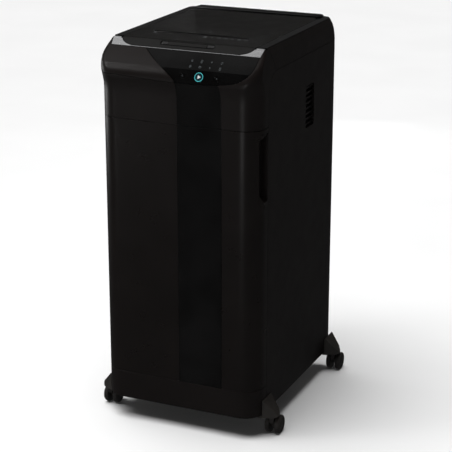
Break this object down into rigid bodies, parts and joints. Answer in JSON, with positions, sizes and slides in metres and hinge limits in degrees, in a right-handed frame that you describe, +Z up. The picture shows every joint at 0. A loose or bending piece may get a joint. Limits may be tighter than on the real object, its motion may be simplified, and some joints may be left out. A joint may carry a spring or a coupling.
{
  "type": "paper shredder",
  "caption": "Upright office paper shredder: pull-out bin drawer, rear-hinged lid over an auto-feed paper tray, manual slot, sloped key panel and outrigger casters.",
  "frame": {"origin": "centre of the footprint on the floor that the casters stand on", "axes": "+Z up; the drawer front and the key panel face -Y; +X to the right as seen from the front"},
  "size_m": [0.516, 0.5743, 1.028],
  "materials": {
    "shell": "fine-grained satin, near black with a warm tint",
    "gloss": "high gloss black",
    "lid": "fine-grained satin black",
    "silver": "bright satin silver",
    "teal": "gloss, lit ring",
    "steel": "zinc plated, brushed",
    "chrome": "polished",
    "dark": "textured dark grey-brown",
    "motor": "semi-gloss grey paint",
    "rubber": "ground rubber",
    "board": "solder-masked laminate"
  },
  "bodies": {
    "cabinet": {"base_tray": "dark", "side_panel_left": "shell", "side_panel_right": "shell", "rear_panel": "shell", "kick_plate": "shell", "front_shoulder": "shell", "bezel": "shell", "shoulder_strip": "gloss", "control_panel": "gloss", "trim_band": "silver", "head_cover": "gloss", "hinge_cover": "gloss", "hinge_rod": "steel", "paper_tray": "dark", "frame_left": "steel", "frame_right": "steel", "drawer_rail_left": "steel", "drawer_rail_right": "steel", "cutter_deck": "steel", "cutter_frame": "steel", "drive_motor": "motor", "feed_belt": "rubber", "fan_frame": "dark", "control_board": "board", "power_inlet": "dark", "caster_arm_front_left": "dark", "caster_arm_front_right": "dark", "caster_arm_rear_left": "dark", "caster_arm_rear_right": "dark"},
    "lid": {"lid_shell": "lid", "lid_liner": "dark", "slot_chute": "gloss"},
    "lid_latch": {"lid_latch": "lid"},
    "pressure_plate": {"pressure_plate": "steel"},
    "drawer": {"drawer_front": "shell", "drawer_strip": "gloss", "drawer_cradle": "steel", "waste_bin": "dark"},
    "start_key": {"start_button": "teal"},
    "reverse_key": {"reverse_button": "gloss"},
    "forward_key": {"forward_button": "gloss"},
    "mains_rocker": {"mains_rocker": "gloss"},
    "cutter_rear": {"cutter_shaft_rear": "steel"},
    "cutter_front": {"cutter_shaft_front": "steel"},
    "idler": {"idler_gear": "steel"},
    "pinion": {"motor_pinion": "steel"},
    "feed_rollers": {"feed_roller_shaft": "rubber"},
    "fan": {"fan_rotor": "dark"},
    "swivel_front_left": {"caster_stem_front_left": "chrome", "caster_hood_front_left": "dark"},
    "swivel_front_right": {"caster_stem_front_right": "chrome", "caster_hood_front_right": "dark"},
    "swivel_rear_left": {"caster_stem_rear_left": "chrome", "caster_hood_rear_left": "dark"},
    "swivel_rear_right": {"caster_stem_rear_right": "chrome", "caster_hood_rear_right": "dark"},
    "wheels_front_left": {"caster_wheels_front_left": "dark"},
    "wheels_front_right": {"caster_wheels_front_right": "dark"},
    "wheels_rear_left": {"caster_wheels_rear_left": "dark"},
    "wheels_rear_right": {"caster_wheels_rear_right": "dark"}
  },
  "joints": [
    {"name": "lid_hinge", "type": "hinge", "parent": "cabinet", "child": "lid", "pos_m": [0, 0.217, 1.0157], "axis": [-1, 0, 0], "range_deg": [0, 70]},
    {"name": "lid_latch_pull", "type": "hinge", "parent": "lid", "child": "lid_latch", "pos_m": [0, -0.2095, 1.0185], "axis": [-1, 0, 0], "range_deg": [0, 18], "stiffness_Nm_per_rad": 0.02, "springref_deg": -5.73},
    {"name": "pressure_plate_swing", "type": "hinge", "parent": "lid", "child": "pressure_plate", "pos_m": [0, 0.132, 1.004], "axis": [-1, 0, 0], "range_deg": [0, 14], "stiffness_Nm_per_rad": 3, "springref_deg": -11.46},
    {"name": "drawer_slide", "type": "slide", "parent": "cabinet", "child": "drawer", "axis": [0, -1, 0], "range_m": [0, 0.4]},
    {"name": "start_press", "type": "slide", "parent": "cabinet", "child": "start_key", "axis": [0, 0.9085, -0.4179], "range_m": [0, 0.0012], "stiffness_N_per_m": 800},
    {"name": "reverse_press", "type": "slide", "parent": "cabinet", "child": "reverse_key", "axis": [0, 0.9085, -0.4179], "range_m": [0, 0.0012], "stiffness_N_per_m": 600},
    {"name": "forward_press", "type": "slide", "parent": "cabinet", "child": "forward_key", "axis": [0, 0.9085, -0.4179], "range_m": [0, 0.0012], "stiffness_N_per_m": 600},
    {"name": "mains_rocker_tilt", "type": "hinge", "parent": "cabinet", "child": "mains_rocker", "pos_m": [-0.15, 0.258, 0.152], "axis": [-1, 0, 0], "range_deg": [0, 14]},
    {"name": "cutter_rear_spin", "type": "hinge", "parent": "cabinet", "child": "cutter_rear", "pos_m": [0, -0.087, 0.88], "axis": [1, 0, 0], "continuous": true},
    {"name": "cutter_front_spin", "type": "hinge", "parent": "cabinet", "child": "cutter_front", "pos_m": [0, -0.137, 0.88], "axis": [1, 0, 0], "continuous": true},
    {"name": "idler_spin", "type": "hinge", "parent": "cabinet", "child": "idler", "pos_m": [0, -0.027, 0.88], "axis": [1, 0, 0], "continuous": true},
    {"name": "pinion_spin", "type": "hinge", "parent": "cabinet", "child": "pinion", "pos_m": [0, 0.023, 0.88], "axis": [1, 0, 0], "continuous": true},
    {"name": "feed_spin", "type": "hinge", "parent": "cabinet", "child": "feed_rollers", "pos_m": [0, -0.053, 0.93], "axis": [1, 0, 0], "continuous": true},
    {"name": "fan_spin", "type": "hinge", "parent": "cabinet", "child": "fan", "pos_m": [0.195, 0.069, 0.868], "axis": [1, 0, 0], "continuous": true},
    {"name": "swivel_front_left_turn", "type": "hinge", "parent": "cabinet", "child": "swivel_front_left", "pos_m": [-0.238, -0.214, 0.05], "axis": [0, 0, 1], "continuous": true},
    {"name": "swivel_front_right_turn", "type": "hinge", "parent": "cabinet", "child": "swivel_front_right", "pos_m": [0.238, -0.214, 0.05], "axis": [0, 0, 1], "continuous": true},
    {"name": "swivel_rear_left_turn", "type": "hinge", "parent": "cabinet", "child": "swivel_rear_left", "pos_m": [-0.238, 0.246, 0.05], "axis": [0, 0, 1], "continuous": true},
    {"name": "swivel_rear_right_turn", "type": "hinge", "parent": "cabinet", "child": "swivel_rear_right", "pos_m": [0.238, 0.246, 0.05], "axis": [0, 0, 1], "continuous": true},
    {"name": "wheels_front_left_roll", "type": "hinge", "parent": "swivel_front_left", "child": "wheels_front_left", "pos_m": [-0.238, -0.198, 0.025], "axis": [1, 0, 0], "continuous": true},
    {"name": "wheels_front_right_roll", "type": "hinge", "parent": "swivel_front_right", "child": "wheels_front_right", "pos_m": [0.238, -0.198, 0.025], "axis": [1, 0, 0], "continuous": true},
    {"name": "wheels_rear_left_roll", "type": "hinge", "parent": "swivel_rear_left", "child": "wheels_rear_left", "pos_m": [-0.238, 0.262, 0.025], "axis": [1, 0, 0], "continuous": true},
    {"name": "wheels_rear_right_roll", "type": "hinge", "parent": "swivel_rear_right", "child": "wheels_rear_right", "pos_m": [0.238, 0.262, 0.025], "axis": [1, 0, 0], "continuous": true}
  ],
  "couplings": [
    {"joint": "cutter_front_spin", "follows": "cutter_rear_spin", "ratio": -1},
    {"joint": "idler_spin", "follows": "cutter_rear_spin", "ratio": -0.71429},
    {"joint": "pinion_spin", "follows": "cutter_rear_spin", "ratio": 1.6667},
    {"joint": "feed_spin", "follows": "cutter_rear_spin", "ratio": 1}
  ]
}
